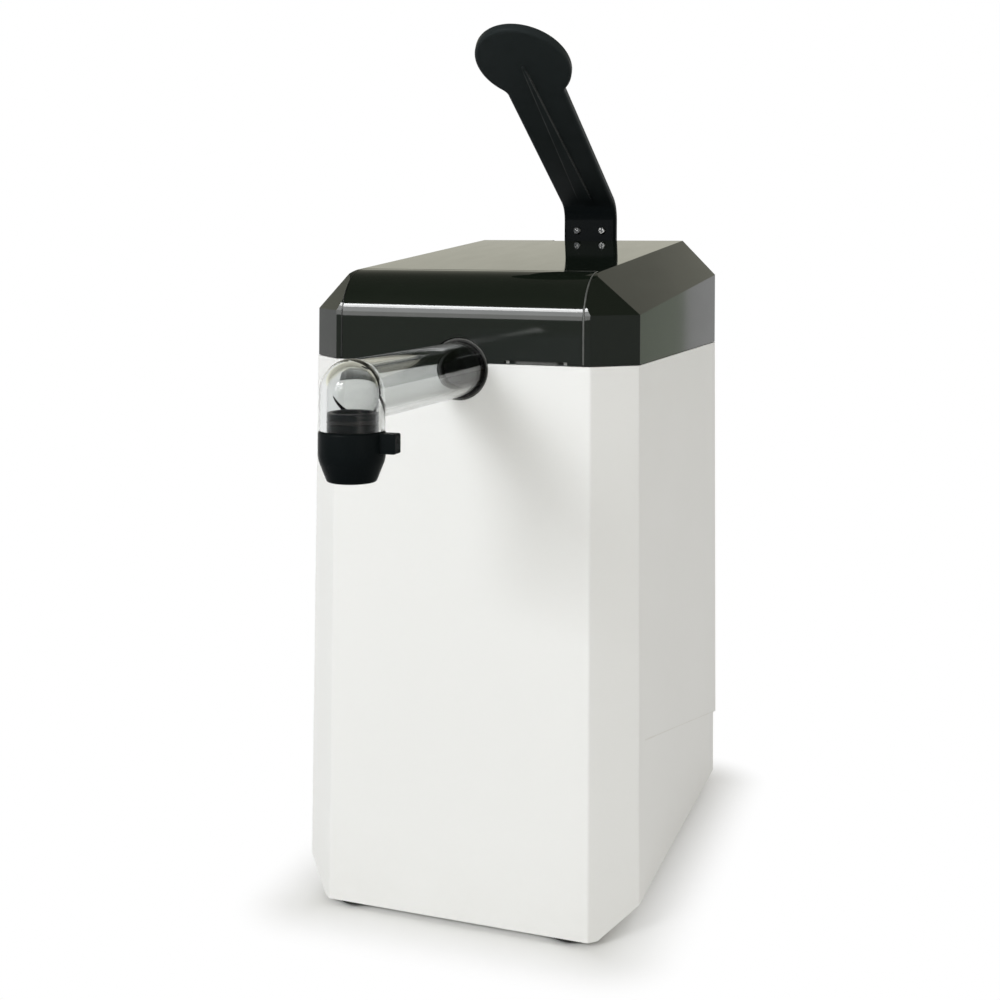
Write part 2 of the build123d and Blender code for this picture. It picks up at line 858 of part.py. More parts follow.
def pump_footprint(margin, z0, z1):
    """Keyhole block around the cylinder and the riser, grown by a margin."""
    body = upright(cylinder_radius + margin, 0, pump_y, z0, z1)
    body += upright(riser_radius + margin, 0, riser_y, z0, z1)
    half = riser_radius + margin
    return body + block(-half, half, riser_y, pump_y, z0, z1)


def pump_screw_places():
    radius = cylinder_radius + flange_margin / 2
    step = radius / sqrt(2)
    return [(sx * step, pump_y + sy * step) for sx in (-1, 1) for sy in (-1, 1)]


def pump_deck():
    half = side_x - housing_wall - deck_clearance
    deck = block(-half, half, deck_front, deck_rear, deck_z - deck_thickness, deck_z)
    corners = deck.edges().filter_by(Axis.Z)
    deck = fillet(corners, deck_corner_radius)
    lip_half = side_x - housing_wall - ledge_depth - 2
    for y0 in (deck_front + deck_lip_inset, deck_rear - deck_lip_inset - deck_thickness):
        lip_foot = deck_z - deck_thickness - deck_lip
        deck += block(-lip_half, lip_half, y0, y0 + deck_thickness, lip_foot, deck_z - 1)
    deck -= pump_footprint(hole_clearance, deck_z - 10, deck_z + 1)
    for x, y in deck_screw_places():
        deck -= upright(thumb_screw_diameter / 2 + hole_clearance, x, y, deck_z - 10, deck_z + 1)
    for x, y in pump_screw_places():
        deck -= upright(screw_diameter / 2 + seat_clearance, x, y, deck_z - 10, deck_z + 1)
    return deck


def deck_screws():
    """Fluted thumb screws that hold the deck on the housing's ledges."""
    screws = Part()
    for x, y in deck_screw_places():
        head = upright(thumb_head_diameter / 2, x, y, deck_z, deck_z + thumb_head_height)
        head = fillet(head.edges().sort_by(Axis.Z)[-1], 1.2)
        for i in range(thumb_flutes):
            turn = 2 * pi * i / thumb_flutes
            edge_x = x + thumb_head_diameter / 2 * cos(turn)
            edge_y = y + thumb_head_diameter / 2 * sin(turn)
            flute_z = deck_z + thumb_flute_foot
            head -= upright(thumb_flute_radius, edge_x, edge_y, flute_z, deck_z + thumb_head_height + 1)
        length = deck_thickness + ledge_thickness
        screws += head + upright(thumb_screw_diameter / 2, x, y, deck_z - length, deck_z)
    return screws


def pump_body():
    """Cylinder, valve block, gallery, riser and spout socket as one moulding."""
    body = upright(cylinder_radius, 0, pump_y, block_z, cap_z)
    body += pump_footprint(flange_margin, deck_z, cap_z)
    body += along_y(gallery_bore / 2 + gallery_wall, riser_y, pump_y, 0, gallery_z)
    body += upright(riser_radius, 0, riser_y, gallery_z - riser_radius, spout_z)
    body += along_y(socket_radius, socket_front, riser_y + riser_radius + 2, 0, spout_z)
    nipple_z = block_z - nipple_length
    body += upright(inlet_bore / 2 + nipple_wall, 0, pump_y, nipple_z, block_z)
    body -= upright(cylinder_bore / 2, 0, pump_y, chamber_z, cap_z + 1)
    body -= upright(valve_bore / 2, 0, pump_y, chamber_z - valve_pocket, chamber_z + 1)
    body -= upright(inlet_bore / 2, 0, pump_y, nipple_z - 1, chamber_z - valve_pocket + 1)
    body -= along_y(gallery_bore / 2, riser_y, pump_y, 0, gallery_z)
    body -= upright(riser_low_bore / 2, 0, riser_y, gallery_z - riser_low_bore / 2, spout_z)
    body -= upright(riser_bore / 2, 0, riser_y, gallery_z + riser_shoulder, spout_z)
    body -= along_y(spout_bore / 2, socket_front - 1, riser_y + riser_bore / 2 + 1, 0, spout_z)
    body -= along_y(spout_diameter / 2 + seat_clearance, socket_front - 1, spout_rear, 0, spout_z)
    for x, y in pump_screw_places():
        body -= upright(screw_diameter / 2 + hole_clearance, x, y, deck_z - 1, cap_z + 1)
    return body


def cylinder_cap():
    """Cover over the cylinder with the rod's guide and the spring's seat."""
    cap = upright(flange_radius, 0, pump_y, cap_z, spring_seat_z)
    cap = fillet(cap.edges().sort_by(Axis.Z)[-1], 1.5)
    cap += upright(guide_diameter / 2, 0, pump_y, spring_seat_z, spring_seat_z + guide_height)
    guide_top = spring_seat_z + guide_height + 1
    cap -= upright(rod_diameter / 2 + running_clearance, 0, pump_y, cap_z - 1, guide_top)
    cap -= upright(riser_radius + hole_clearance, 0, riser_y, cap_z - 1, spring_seat_z + 1)
    for x, y in pump_screw_places():
        cap -= upright(screw_diameter / 2 + hole_clearance, x, y, cap_z - 1, spring_seat_z + 1)
    return cap


def pump_screws():
    length = cap_thickness + flange_thickness + deck_thickness + 2
    screws = Part()
    for x, y in pump_screw_places():
        screws += screw(x, y, spring_seat_z, length, up=False)
    return screws


def duckbill(x, y, z, radius):
    """Elastomer valve: a flange and two lips that close to a slit at the top."""
    root = radius - valve_step
    flange = upright(radius - seat_clearance, x, y, z, z + valve_flange)
    lips = upright(root, x, y, z + valve_flange, z + valve_flange + valve_bill)
    top = z + valve_flange + valve_bill
    shoulder = z + valve_flange
    lips &= side_slab([
        (y - root, z), (y - root, shoulder), (y - valve_lip, top),
        (y + valve_lip, top), (y + root, shoulder), (y + root, z),
    ], x - root, x + root)
    inner = root - valve_skin
    waist = shoulder - valve_skin
    hollow = upright(inner, x, y, z - 1, top + 1)
    hollow &= side_slab([
        (y - inner, z - 1), (y - inner, waist), (y - valve_slit, top + 1),
        (y + valve_slit, top + 1), (y + inner, waist), (y + inner, z - 1),
    ], x - root, x + root)
    return flange + lips - hollow


def inlet_valve():
    return duckbill(0, pump_y, chamber_z - valve_pocket, valve_bore / 2)


def outlet_valve():
    return duckbill(0, riser_y, gallery_z + riser_shoulder, riser_bore / 2)


def suction_tube():
    inner = inlet_bore / 2 + nipple_wall + seat_clearance
    return ring(inner + suction_tube_wall, inner, 0, pump_y, floor_z + suction_floor_gap, block_z)


def piston_rod():
    return upright(rod_diameter / 2, 0, pump_y, piston_z + rod_seat, button_top_z - button_skin)


def seal_heights():
    return [piston_z + piston_height * share for share in (0.3, 0.7)]


def piston_head():
    radius = cylinder_bore / 2 - piston_clearance
    head = upright(radius, 0, pump_y, piston_z, piston_top_z)
    head -= upright(rod_diameter / 2, 0, pump_y, piston_z + rod_seat, piston_top_z + 1)
    half = seal_section / 2 + seat_clearance
    for z in seal_heights():
        head -= ring(radius + 1, radius - seal_section, 0, pump_y, z - half, z + half)
    return head


def piston_seals():
    outer = cylinder_bore / 2 - running_clearance
    seals = Part()
    for z in seal_heights():
        seals += Pos(0, pump_y, z) * Torus(outer - seal_section / 2, seal_section / 2)
    return seals


def push_button():
    button = upright(button_diameter / 2, 0, pump_y, button_z, button_top_z)
    button = fillet(button.edges().sort_by(Axis.Z)[-1], button_round)
    button += upright(guide_diameter / 2, 0, pump_y, button_z - button_boss, button_z)
    socket_z = button_z - button_boss - 1
    return button - upright(rod_diameter / 2, 0, pump_y, socket_z, button_top_z - button_skin)


def spring_path():
    """Helix from seat to button as tangent arcs, two for each quarter turn."""
    radius = spring_diameter / 2
    low = spring_seat_z + spring_wire / 2 + spring_seat_gap
    high = button_z - spring_wire / 2 - spring_seat_gap
    count = round(4 * spring_turns)
    rate = (high - low) / (2 * pi * spring_turns)

    def at(step):
        turn = 2 * pi * spring_turns * step / count
        point = Vector(radius * cos(turn), pump_y + radius * sin(turn), low + rate * turn)
        return point, Vector(-radius * sin(turn), radius * cos(turn), rate).normalized()

    arcs = []
    for step in range(count):
        start, leave = at(step)
        end, arrive = at(step + 1)
        chord = end - start
        both = leave + arrive
        a = 2 * leave.dot(arrive) - 2
        b = -2 * chord.dot(both)
        c = chord.dot(chord)
        pull = (-b - sqrt(b * b - 4 * a * c)) / (2 * a)
        middle = (start + leave * pull + end - arrive * pull) / 2
        turn_dir = (end - arrive * pull - start - leave * pull).normalized()
        arcs.append(Edge.make_tangent_arc(start, leave, middle))
        arcs.append(Edge.make_tangent_arc(middle, turn_dir, end))
    return Wire(arcs), at


def return_spring():
    path, at = spring_path()
    start, heading = at(0)
    section = Plane(origin=start, z_dir=heading) * Circle(spring_wire / 2)
    spring = sweep(section, path=path)
    points = [path.position_at(i / 600) for i in range(601)]
    along = path.length / 600
    skip = round(spring_diameter / along)
    least = min((points[i] - points[j]).length for i in range(601) for j in range(i + skip, 601))
    print(f"return spring: least gap to itself {least - spring_wire:.2f} mm, length {path.length:.1f} mm")
    swept = pi * spring_wire ** 2 / 4 * path.length
    print(f"return spring: volume over section times length {spring.volume / swept:.4f}")
    return spring


# Spout and nozzle

def spout_tube():
    """Clear tube with a ball-ended elbow, a collar for the nut and an open outlet."""
    tube = along_y(spout_diameter / 2, elbow_y, spout_rear, 0, spout_z)
    ball = Pos(0, elbow_y, spout_z) * Sphere(elbow_diameter / 2)
    leg = upright(elbow_diameter / 2, 0, elbow_y, elbow_bottom, spout_z)
    collar_front = socket_front - gasket_thickness - collar_thickness
    collar = along_y(collar_diameter / 2, collar_front, collar_front + collar_thickness, 0, spout_z)
    bore = along_y(spout_bore / 2, elbow_y, spout_rear + 1, 0, spout_z)
    bore += Pos(0, elbow_y, spout_z) * Sphere(spout_bore / 2)
    bore += upright(spout_bore / 2, 0, elbow_y, elbow_bottom - 1, spout_z)
    return tube + ball + leg + collar - bore


def spout_gasket():
    y1 = socket_front
    y0 = y1 - gasket_thickness
    disc = along_y(collar_diameter / 2, y0, y1, 0, spout_z)
    return disc - along_y(spout_diameter / 2 + seat_clearance, y0 - 1, y1 + 1, 0, spout_z)


def spout_nut():
    """Fluted coupling nut that draws the spout's collar on to the socket."""
    inner = max(socket_radius, collar_diameter / 2) + hole_clearance
    outer = inner + nut_wall
    wall_rear = socket_front - gasket_thickness - collar_thickness
    front = wall_rear - nut_front_wall
    nut = along_y(outer, front, front + nut_length, 0, spout_z)
    nut = fillet(nut.edges().filter_by(GeomType.CIRCLE), 0.8)
    nut -= along_y(inner, wall_rear, front + nut_length + 1, 0, spout_z)
    nut -= along_y(spout_diameter / 2 + hole_clearance, front - 1, wall_rear + 1, 0, spout_z)
    for i in range(nut_flutes):
        turn = 2 * pi * i / nut_flutes
        x = outer * cos(turn)
        z = spout_z + outer * sin(turn)
        nut -= along_y(nut_flute_radius, front - 1, front + nut_length + 1, x, z)
    return nut


def spout_grommet():
    """Ring on the tube that fills the front opening, seated in the housing's half of it."""
    outer = spout_hole_radius - grommet_clearance
    y0 = front_y + grommet_set_back
    y1 = y0 + grommet_length
    body = along_y(outer, y0, y1, 0, spout_z)
    return body - along_y(spout_diameter / 2 + seat_clearance, y0 - 1, y1 + 1, 0, spout_z)


def nozzle_cap():
    """Twist cap: a spigot up into the elbow, a straight grip and a tapering outlet."""
    radius = nozzle_diameter / 2
    spigot = spout_bore / 2 - 2 * running_clearance
    straight_z = nozzle_top - nozzle_straight
    tip_z = straight_z - nozzle_taper
    outline = polygon([
        (0, tip_z), (nozzle_tip_diameter / 2, tip_z), (radius, straight_z),
        (radius, nozzle_top), (0, nozzle_top),
    ])
    outline = fillet(outline.vertices().sort_by_distance((radius, straight_z, 0))[0], nozzle_waist_radius)
    for corner in ((radius, nozzle_top, 0), (nozzle_tip_diameter / 2, tip_z, 0)):
        outline = fillet(outline.vertices().sort_by_distance(corner)[0], nozzle_edge_radius)
    cap = Pos(0, elbow_y, 0) * revolve(Plane.XZ * outline, Axis.Z)
    cap += upright(spigot, 0, elbow_y, nozzle_top - 1, nozzle_top + nozzle_gap + spigot_length)
    tab = block(radius - 3, radius + tab_length, elbow_y - tab_thickness / 2, elbow_y + tab_thickness / 2,
                nozzle_top - tab_drop - tab_height, nozzle_top - tab_drop)
    cap += fillet(tab.edges().filter_by(Axis.Y), tab_round)
    bore = spigot - nozzle_wall
    cap -= upright(bore, 0, elbow_y, tip_z + nozzle_floor, nozzle_top + 2 * spigot_length)
    cap -= upright(nozzle_tip_diameter / 2 - nozzle_lip, 0, elbow_y, tip_z - 1, tip_z + nozzle_floor + 1)
    z = nozzle_top + nozzle_gap + spigot_length / 2
    half = nozzle_seal_section / 2 + seat_clearance
    groove = spigot - nozzle_seal_section
    return cap - ring(spigot + 1, groove, 0, elbow_y, z - half, z + half)


def nozzle_seal():
    outer = spout_bore / 2 - running_clearance
    section = nozzle_seal_section / 2
    z = nozzle_top + nozzle_gap + spigot_length / 2
    return Pos(0, elbow_y, z) * Torus(outer - section, section)


def drip_valve():
    """Slit silicone disc on the step inside the nozzle."""
    tip_z = nozzle_top - nozzle_straight - nozzle_taper
    bore = spout_bore / 2 - 2 * running_clearance - nozzle_wall
    radius = min(drip_valve_diameter / 2, bore - seat_clearance)
    z = tip_z + nozzle_floor
    top = z + drip_valve_thickness
    disc = upright(radius, 0, elbow_y, z, top)
    long = drip_slit_length / 2
    thin = drip_slit_width / 2
    disc -= block(-long, long, elbow_y - thin, elbow_y + thin, z - 1, top + 1)
    return disc - block(-thin, thin, elbow_y - long, elbow_y + long, z - 1, top + 1)


nodes = [
    housing_shell, rubber_feet, pump_deck, deck_screws, pump_body, cylinder_cap, pump_screws,
    inlet_valve, outlet_valve, suction_tube, spout_tube, spout_gasket, spout_nut, spout_grommet,
    hinge_pins, return_spring,
    lid_shell, lid_front_panel, lever_bracket, bracket_screws, pivot_bushes,
    lever_arm, pivot_pin, pivot_clips, pusher_pad, handle, handle_screws,
    piston_rod, piston_head, piston_seals, push_button,
    nozzle_cap, nozzle_seal, drip_valve,
]

os.makedirs("parts", exist_ok=True)
for make in nodes:
    export_step(Pos(0, frame_shift, 0) * make(), f"parts/{make.__name__}.step")
print(f"stroke {stroke:.3f} mm, shift along Y {frame_shift:.3f} mm")
print(f"pivot ({pivot_y + frame_shift:.3f}, {pivot_z:.3f})")
print(f"hinge ({hinge_y + frame_shift:.3f}, {hinge_z:.3f})")
print(f"nozzle axis y {elbow_y + frame_shift:.3f}, spring seat z {spring_seat_z:.3f}")
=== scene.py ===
import bpy
from math import cos, pi, radians, sin, sqrt, tan
from mathutils import Matrix, Vector


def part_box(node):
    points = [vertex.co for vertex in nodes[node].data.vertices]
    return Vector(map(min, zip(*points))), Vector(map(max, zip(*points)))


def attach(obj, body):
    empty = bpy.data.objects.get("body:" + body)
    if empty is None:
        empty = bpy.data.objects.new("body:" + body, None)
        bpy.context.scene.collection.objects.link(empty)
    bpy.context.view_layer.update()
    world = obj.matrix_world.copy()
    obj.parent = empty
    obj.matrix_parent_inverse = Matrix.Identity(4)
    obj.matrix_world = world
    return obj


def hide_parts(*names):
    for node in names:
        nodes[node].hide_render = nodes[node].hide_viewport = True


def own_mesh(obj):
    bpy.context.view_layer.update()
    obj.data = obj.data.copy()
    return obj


# Lever-pump condiment dispenser in metres, in the frame of its CAD model: +Z up, spout towards -Y.
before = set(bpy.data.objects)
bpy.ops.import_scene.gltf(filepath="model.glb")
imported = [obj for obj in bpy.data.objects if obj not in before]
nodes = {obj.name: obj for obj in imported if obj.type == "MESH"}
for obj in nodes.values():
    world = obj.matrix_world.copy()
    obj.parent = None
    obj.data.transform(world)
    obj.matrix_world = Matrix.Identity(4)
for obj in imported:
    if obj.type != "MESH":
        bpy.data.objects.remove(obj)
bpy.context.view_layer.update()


class Wire:
    """An output of a node tree. Sums on it add Math nodes to the same tree."""

    def __init__(self, tree, socket):
        self.tree = tree
        self.socket = socket

    def work(self, operation, *terms):
        return self.tree.add("ShaderNodeMath", {"operation": operation}, dict(enumerate(terms)))

    def __add__(self, other):
        return self.work("ADD", self, other)

    def __radd__(self, other):
        return self.work("ADD", other, self)

    def __sub__(self, other):
        return self.work("SUBTRACT", self, other)

    def __rsub__(self, other):
        return self.work("SUBTRACT", other, self)

    def __mul__(self, other):
        return self.work("MULTIPLY", self, other)

    def __rmul__(self, other):
        return self.work("MULTIPLY", other, self)

    def __truediv__(self, other):
        return self.work("DIVIDE", self, other)

    def least(self, other):
        return self.work("MINIMUM", self, other)

    def most(self, other):
        return self.work("MAXIMUM", self, other)

    def capped(self):
        """The same value held between 0 and 1."""
        return self.tree.add("ShaderNodeClamp", {}, {"Value": self})

    def size(self):
        """The value without its sign."""
        return self.work("ABSOLUTE", self)

    def near(self, middle, half, edge):
        """1 within half of the middle, 0 further off, with a soft edge."""
        return ((half - (self - middle).size()) / edge).capped()

    def beside(self, output):
        """Another output of the same node."""
        return Wire(self.tree, self.socket.node.outputs[output])


class Tree:
    """A node tree, with one method that adds any node."""

    def __init__(self, node_tree):
        self.node_tree = node_tree
        self.node_tree.nodes.clear()

    def add(self, kind, settings, sockets, output=0):
        node = self.node_tree.nodes.new(kind)
        for name, value in settings.items():
            setattr(node, name, value)
        for name, value in sockets.items():
            if isinstance(value, Wire):
                self.node_tree.links.new(value.socket, node.inputs[name])
            else:
                node.inputs[name].default_value = value
        return Wire(self, node.outputs[output]) if node.outputs else None


class Finish(Tree):
    """A procedural material on Object coordinates."""

    def __init__(self, name):
        self.material = bpy.data.materials.new(name)
        self.material.use_nodes = True
        super().__init__(self.material.node_tree)

    def place(self, stretch=(1.0, 1.0, 1.0), turn=(0.0, 0.0, 0.0)):
        spot = self.add("ShaderNodeTexCoord", {}, {}, "Object")
        return self.add("ShaderNodeMapping", {}, {"Vector": spot, "Scale": stretch, "Rotation": turn})

    def cloud(self, scale, detail=2.0, stretch=(1.0, 1.0, 1.0), turn=(0.0, 0.0, 0.0)):
        """Noise between 0 and 1; scale is in features per metre."""
        sockets = {"Vector": self.place(stretch, turn), "Scale": scale, "Detail": detail}
        return self.add("ShaderNodeTexNoise", {}, sockets)

    def along(self, axis):
        """Where a point is along X, Y or Z, in metres."""
        return self.add("ShaderNodeSeparateXYZ", {}, {0: self.place()}, axis)

    def blend(self, share, first, second):
        """A colour between two colours."""
        return self.add("ShaderNodeMix", {"data_type": "RGBA"}, {0: share, 6: first, 7: second}, 2)

    def dents(self, height, strength, distance):
        sockets = {"Height": height, "Strength": strength, "Distance": distance}
        return self.add("ShaderNodeBump", {}, sockets)

    def close(self, **sockets):
        """Ends the tree in one Principled shader whose sockets are named with underscores."""
        named = {name.replace("_", " "): value for name, value in sockets.items()}
        shader = self.add("ShaderNodeBsdfPrincipled", {}, named)
        self.add("ShaderNodeOutputMaterial", {}, {"Surface": shader})
        return self.material


class Pattern(Tree):
    """A Geometry Nodes tree with named inputs for its sizes."""

    def __init__(self, name, **inputs):
        super().__init__(bpy.data.node_groups.new(name, "GeometryNodeTree"))
        face = self.node_tree.interface
        face.new_socket("Result", in_out="OUTPUT", socket_type="NodeSocketGeometry")
        self.keys = {}
        for label, kind in inputs.items():
            socket = face.new_socket(label, in_out="INPUT", socket_type="NodeSocket" + kind)
            self.keys[label] = socket.identifier
        self.entry = self.add("NodeGroupInput", {}, {})

    def size(self, label):
        return self.entry.beside(label)

    def end(self, shape):
        whole = self.add("GeometryNodeRealizeInstances", {}, {"Geometry": shape})
        sockets = {"Geometry": whole, "Material": self.size("finish")}
        dressed = self.add("GeometryNodeSetMaterial", {}, sockets)
        self.add("NodeGroupOutput", {}, {0: dressed})
        return self

    def make(self, name, mesh, **sizes):
        """Runs the tree on a mesh and returns a plain mesh piece at the origin."""
        maker = bpy.data.objects.new(name + "_maker", mesh)
        bpy.context.scene.collection.objects.link(maker)
        modifier = maker.modifiers.new(name, "NODES")
        modifier.node_group = self.node_tree
        for label, value in sizes.items():
            modifier[self.keys[label]] = value
        shaped = maker.evaluated_get(bpy.context.evaluated_depsgraph_get())
        plain = bpy.data.meshes.new_from_object(shaped)
        bpy.data.objects.remove(maker)
        plain.name = name
        plain.polygons.foreach_set("use_smooth", [True] * len(plain.polygons))
        plain.set_sharp_from_angle(angle=radians(32.0))
        piece = bpy.data.objects.new(name, plain)
        bpy.context.scene.collection.objects.link(piece)
        return piece


# Turns a distance past an edge, in metres, into a share that is full one millimetre on
per_millimetre = 1000.0


def colour(red, green, blue):
    return (red, green, blue, 1.0)


def moulded_white():
    """Satin white housing plastic: faint clouds, fine grain, grime low down, and a painted shade line along
    the relief's edge.
    """
    relief_height, relief_fall, relief_front = 0.1, 0.2248, -0.0256
    side_wall, edge_half, grime_height = 0.09, 0.0007, 0.05
    finish = Finish("moulded_white")
    clean = finish.blend(finish.cloud(6.0, 3.0), colour(0.84, 0.842, 0.835), colour(0.88, 0.88, 0.875))
    across, along, height = finish.along("X"), finish.along("Y"), finish.along("Z")
    low = (1.0 - height / grime_height).capped()
    behind = along - relief_front
    off_edge = height - relief_height + relief_fall * behind
    on_side = ((across.size() - side_wall) * per_millimetre).capped() * (behind * per_millimetre).capped()
    # Painted shade: a thin darker line along the edge of the side relief.
    edge_shade_line = (1.0 - off_edge.size() / edge_half).capped() * on_side
    # Blotchy grime in the lowest few centimetres, plus the painted shade line along the relief's edge.
    grime_and_edge_shade = low * finish.cloud(60.0, 4.0) * 0.2 + edge_shade_line * finish.cloud(25.0, 2.0) * 0.9
    grain = finish.cloud(1600.0, 2.0)
    return finish.close(
        Base_Color=finish.blend(grime_and_edge_shade, clean, colour(0.62, 0.60, 0.55)),
        Roughness=0.36 + 0.10 * finish.cloud(35.0, 3.0),
        Normal=finish.dents(grain, 0.05, 0.0004),
        IOR=1.45,
        Specular_IOR_Level=0.25,
    )


def on_panel_front(finish, low):
    """1 on the front face of the lid's panel and 0 behind it."""
    face_depth = 0.006
    return ((low.y + face_depth - finish.along("Y")) * per_millimetre).capped()


def notch_highlight(finish):
    """Share of a painted highlight in the finger notch under the lid's panel: a pale strip with a bright
    glint at each end.
    """
    notch_middle, notch_half, notch_height = 0.0435, 0.016, 0.0018
    strip_half, glint_half = 0.0125, 0.0011
    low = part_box("lid_front_panel")[0]
    across = finish.along("X") - notch_middle
    front = on_panel_front(finish, low)
    rise = finish.along("Z") - low.z
    strip = across.near(0.0, strip_half, 0.002) * rise.near(0.0, notch_height, 0.0008)
    # Painted highlight: a bright glint at each end of the notch.
    notch_glints = across.size().near(notch_half, glint_half, 0.0004) * rise.near(0.0, notch_height, 0.0003)
    return front * (0.35 * strip * (0.5 + finish.cloud(150.0, 2.0)) + 0.9 * notch_glints).capped()


def spout_haze(finish):
    """Share of dull haze on the lid's panel beside the spout, which quiets the spout's mirror image there."""
    roll_height, fade_height = 0.321, 0.005
    haze_middle, haze_half, fade_width = 0.04, 0.042, 0.016
    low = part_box("lid_front_panel")[0]
    front = on_panel_front(finish, low)
    below_roll = ((roll_height - finish.along("Z")) / fade_height).capped()
    return front * below_roll * finish.along("X").near(haze_middle, haze_half, fade_width)


def smoked_gloss():
    """Near-black lid plastic, with wiping marks in its gloss and a slight wave in its faces."""
    finish = Finish("smoked_gloss")
    marks = finish.cloud(90.0, 4.0, (1.0, 0.25, 1.0), (0.0, 0.0, 0.5))
    wave = finish.cloud(14.0, 1.0)
    tone = finish.cloud(30.0, 3.0)
    haze = spout_haze(finish)
    smoke_tone = finish.blend(tone, colour(0.006, 0.0095, 0.006), colour(0.0085, 0.0118, 0.008))
    smoke_tone = finish.blend(haze, smoke_tone, colour(0.0205, 0.0238, 0.0217))
    return finish.close(
        # Paler where the painted notch highlight lies.
        Base_Color=finish.blend(notch_highlight(finish), smoke_tone, colour(0.42, 0.42, 0.41)),
        Roughness=0.3 + 0.1 * marks,
        Normal=finish.dents(wave, 0.05, 0.002),
        Specular_IOR_Level=0.0,
        Coat_Weight=(0.58 + 0.08 * marks) * (1.0 - 0.85 * haze),
        Coat_Roughness=0.05,
        Coat_IOR=1.33,
    )


def rubbed_edge():
    """Lid plastic of the panel's bead, with a painted highlight that turns it paler towards the right, varied
    by a cloud.
    """
    finish = Finish("rubbed_edge")
    highlight_start, highlight_width = 0.03, 0.035
    # Painted highlight: paler towards the right side of the bead.
    highlit_side = ((finish.along("X") - highlight_start) / highlight_width).capped()
    share = (highlit_side * (0.5 + finish.cloud(120.0, 3.0))).capped()
    return finish.close(
        Base_Color=finish.blend(share, colour(0.003, 0.004, 0.0035), colour(0.10, 0.105, 0.10)),
        Roughness=0.28 + 0.15 * share,
        Specular_IOR_Level=0.3,
    )


def rib_highlight(finish):
    """Share of a painted highlight along both edges of the low wedge-shaped rib under the handle's stem."""
    stem_lean, bend_height = radians(29.0), 0.391
    rib_start, rib_length, root_half, tip_half = 0.014, 0.1565, 0.005, 0.001
    handle_thickness, line_half = 0.006, 0.0008
    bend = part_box("handle")[1].y - handle_thickness
    back = finish.along("Y") - bend
    rise = finish.along("Z") - bend_height
    share = (rise * sin(stem_lean) - back * cos(stem_lean) - rib_start) / rib_length
    above = back * sin(stem_lean) + rise * cos(stem_lean)
    edge = finish.along("X").size() - (root_half + (tip_half - root_half) * share)
    under = ((0.0004 - above) * 4000.0).capped()
    return under * edge.near(0.0, line_half, 0.0006) * share.near(0.5, 0.5, 0.1) * finish.cloud(60.0, 2.0)


def satin_black(name, rough, shaded_below, lit_above, highlight_share=None):
    """Black moulded plastic with a fine spark grain, and painted shade: dark below one height, paler above
    another, mottled at random.
    """
    finish = Finish(name)
    grain = finish.cloud(1900.0, 2.0)
    worn = finish.cloud(45.0, 4.0)
    lit_share = ((finish.along("Z") - shaded_below) / (lit_above - shaded_below)).capped()
    # Painted shade: dark below, pale above, mottled by the cloud.
    rubbed = (lit_share * (0.75 + 0.5 * worn)).capped()
    tone = finish.blend(rubbed, colour(0.003, 0.0045, 0.005), colour(0.0225, 0.0275, 0.0285))
    # An optional share painted pale as a highlight.
    if highlight_share:
        tone = finish.blend(highlight_share(finish), tone, colour(0.12, 0.125, 0.125))
    return finish.close(
        Base_Color=tone,
        Roughness=rough + 0.12 * worn,
        Normal=finish.dents(grain, 0.12, 0.0004),
        IOR=1.45,
        Specular_IOR_Level=0.02,
    )


def clear_acrylic():
    """Clear polished spout plastic with faint smears."""
    finish = Finish("clear_acrylic")
    smear = finish.cloud(110.0, 3.0, (1.0, 0.3, 1.0))
    return finish.close(
        Base_Color=colour(0.795, 0.81, 0.805),
        Roughness=0.01 + 0.05 * smear * smear,
        Transmission_Weight=1.0,
        IOR=1.45,
        Specular_Tint=colour(0.2, 0.2, 0.2),
    )


def natural_acetal():
    """Off-white pump plastic, slightly waxy and mottled."""
    finish = Finish("natural_acetal")
    mottle = finish.cloud(55.0, 4.0)
    return finish.close(
        Base_Color=finish.blend(mottle, colour(0.70, 0.695, 0.66), colour(0.76, 0.755, 0.725)),
        Roughness=0.38 + 0.14 * mottle,
        Normal=finish.dents(finish.cloud(1200.0, 2.0), 0.06, 0.0004),
        Subsurface_Weight=0.06,
        Subsurface_Radius=(0.004, 0.004, 0.003),
    )


def rim_highlight(finish):
    """Share of a painted highlight on the outer rim of the grommet round the spout."""
    low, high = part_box("spout_grommet")
    rise = finish.along("Z") - (low.z + high.z) / 2
    off_axis = finish.add("ShaderNodeCombineXYZ", {}, {"X": finish.along("X"), "Z": rise})
    radius = finish.add("ShaderNodeVectorMath", {"operation": "LENGTH"}, {0: off_axis}, "Value")
    rim_width, fade_width = 0.0009, 0.0005
    return radius.near((high.x - low.x) / 2, rim_width, fade_width)


def soft_rubber(name, highlight_share=None):
    """Dull black rubber with a dusty bloom."""
    finish = Finish(name)
    bloom = finish.cloud(140.0, 5.0)
    tone = finish.blend(bloom, colour(0.010, 0.010, 0.010), colour(0.022, 0.022, 0.021))
    # An optional share painted pale as a highlight.
    if highlight_share:
        tone = finish.blend(highlight_share(finish), tone, colour(0.11, 0.11, 0.105))
    return finish.close(
        Base_Color=tone,
        Roughness=0.68 + 0.2 * bloom,
        Normal=finish.dents(finish.cloud(900.0, 2.0), 0.12, 0.0003),
        Specular_IOR_Level=0.3,
    )


def brushed_steel(name, stretch):
    """Stainless steel brushed along the axis that is stretched least."""
    finish = Finish(name)
    lines = finish.cloud(900.0, 3.0, stretch)
    return finish.close(
        Base_Color=finish.blend(lines, colour(0.52, 0.52, 0.505), colour(0.68, 0.68, 0.665)),
        Metallic=1.0,
        Roughness=0.22 + 0.22 * lines,
        Normal=finish.dents(lines, 0.08, 0.0002),
    )


